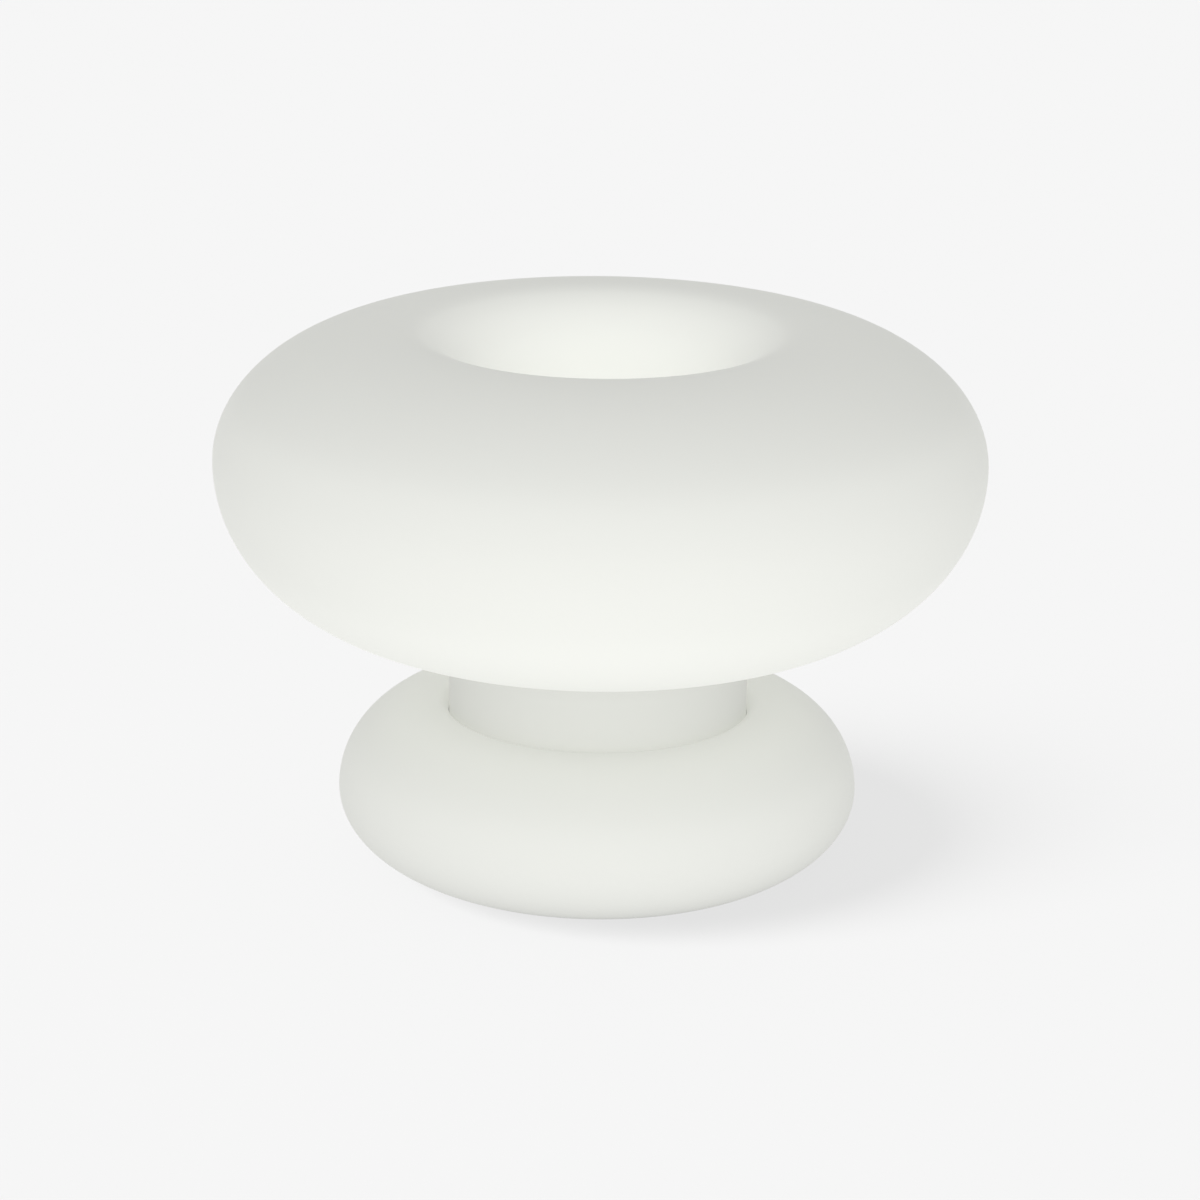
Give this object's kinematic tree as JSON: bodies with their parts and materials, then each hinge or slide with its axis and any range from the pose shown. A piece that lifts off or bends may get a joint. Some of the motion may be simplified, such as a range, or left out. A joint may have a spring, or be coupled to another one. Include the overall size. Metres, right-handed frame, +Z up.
{
  "type": "table lamp",
  "caption": "Mushroom table lamp with a wide ring-shaped opal shade, a bowl dimple on top and a flattened round base; the shade lifts off, with rear button and flap.",
  "frame": {"origin": "on the floor under the lamp's axis, at the rubber foot's lower face", "axes": "+Z up along the lamp's axis, +Y towards the charging port at the rear, -Y towards the viewer"},
  "size_m": [0.3, 0.3, 0.216],
  "materials": {
    "opal_shell": "matt moulded polyethylene, opal white",
    "white_plastic": "fine textured moulded ABS",
    "silicone": "matt translucent silicone",
    "black_rubber": "matt rubber",
    "zinc_steel": "zinc plated",
    "aluminium": "turned, bead blasted",
    "black_steel": "black oxide",
    "ballast_steel": "grey primer",
    "tray_plastic": "moulded ABS, dark grey",
    "cell_wrap": "shrink film",
    "strap": "woven tape",
    "nickel": "nickel strip",
    "board_mask": "solder mask over glass fibre",
    "white_board": "white solder mask on aluminium",
    "chip_epoxy": "moulded epoxy",
    "ferrite": "pressed ferrite",
    "capacitor_can": "drawn can",
    "socket_nylon": "moulded nylon",
    "led_phosphor": "phosphor in silicone",
    "dome_opal": "opal polycarbonate",
    "lead_jacket": "soft PVC",
    "red_lead": "soft PVC",
    "button_cap": "satin ABS",
    "brass": "turned"
  },
  "bodies": {
    "base": {"base_shell": "opal_shell", "seat_ring": "silicone", "bottom_pan": "white_plastic", "foot_ring": "black_rubber", "pan_screws": "zinc_steel", "ballast_plate": "ballast_steel", "ballast_screws": "zinc_steel", "battery_tray": "tray_plastic", "battery_cells": "cell_wrap", "battery_straps": "strap", "cell_links": "nickel", "driver_board": "board_mask", "board_standoffs": "brass", "board_screws": "zinc_steel", "driver_chips": "chip_epoxy", "driver_coil": "ferrite", "driver_capacitors": "capacitor_can", "lead_sockets": "socket_nylon", "inner_cover": "white_plastic", "cover_grommet": "black_rubber", "stem_stud": "zinc_steel", "stem_nut": "zinc_steel", "stem_tube": "aluminium", "stem_collar": "white_plastic", "collar_screw": "black_steel", "heat_sink": "aluminium", "led_board": "white_board", "led_chips": "led_phosphor", "led_screws": "zinc_steel", "led_plug": "socket_nylon", "light_dome": "dome_opal", "dome_screws": "zinc_steel", "lamp_lead": "lead_jacket", "port_lead": "lead_jacket", "battery_lead": "red_lead", "port_housing": "white_plastic", "port_gasket": "silicone", "port_screws": "zinc_steel", "port_board": "board_mask", "usb_socket": "zinc_steel", "tact_switch": "chip_epoxy", "flap_pin": "zinc_steel"},
    "shade": {"shade_shell": "opal_shell"},
    "button": {"power_button": "button_cap"},
    "flap": {"port_flap": "silicone"}
  },
  "joints": [
    {"name": "shade_lift", "type": "slide", "parent": "base", "child": "shade", "axis": [0, 0, 1], "range_m": [0, 0.1]},
    {"name": "button_press", "type": "slide", "parent": "base", "child": "button", "axis": [0, -1, 0], "range_m": [0, 0.0012], "stiffness_N_per_m": 1500},
    {"name": "flap_swing", "type": "hinge", "parent": "base", "child": "flap", "pos_m": [0, 0.0949, 0.0299], "axis": [1, 0, 0], "range_deg": [0, 100]}
  ]
}
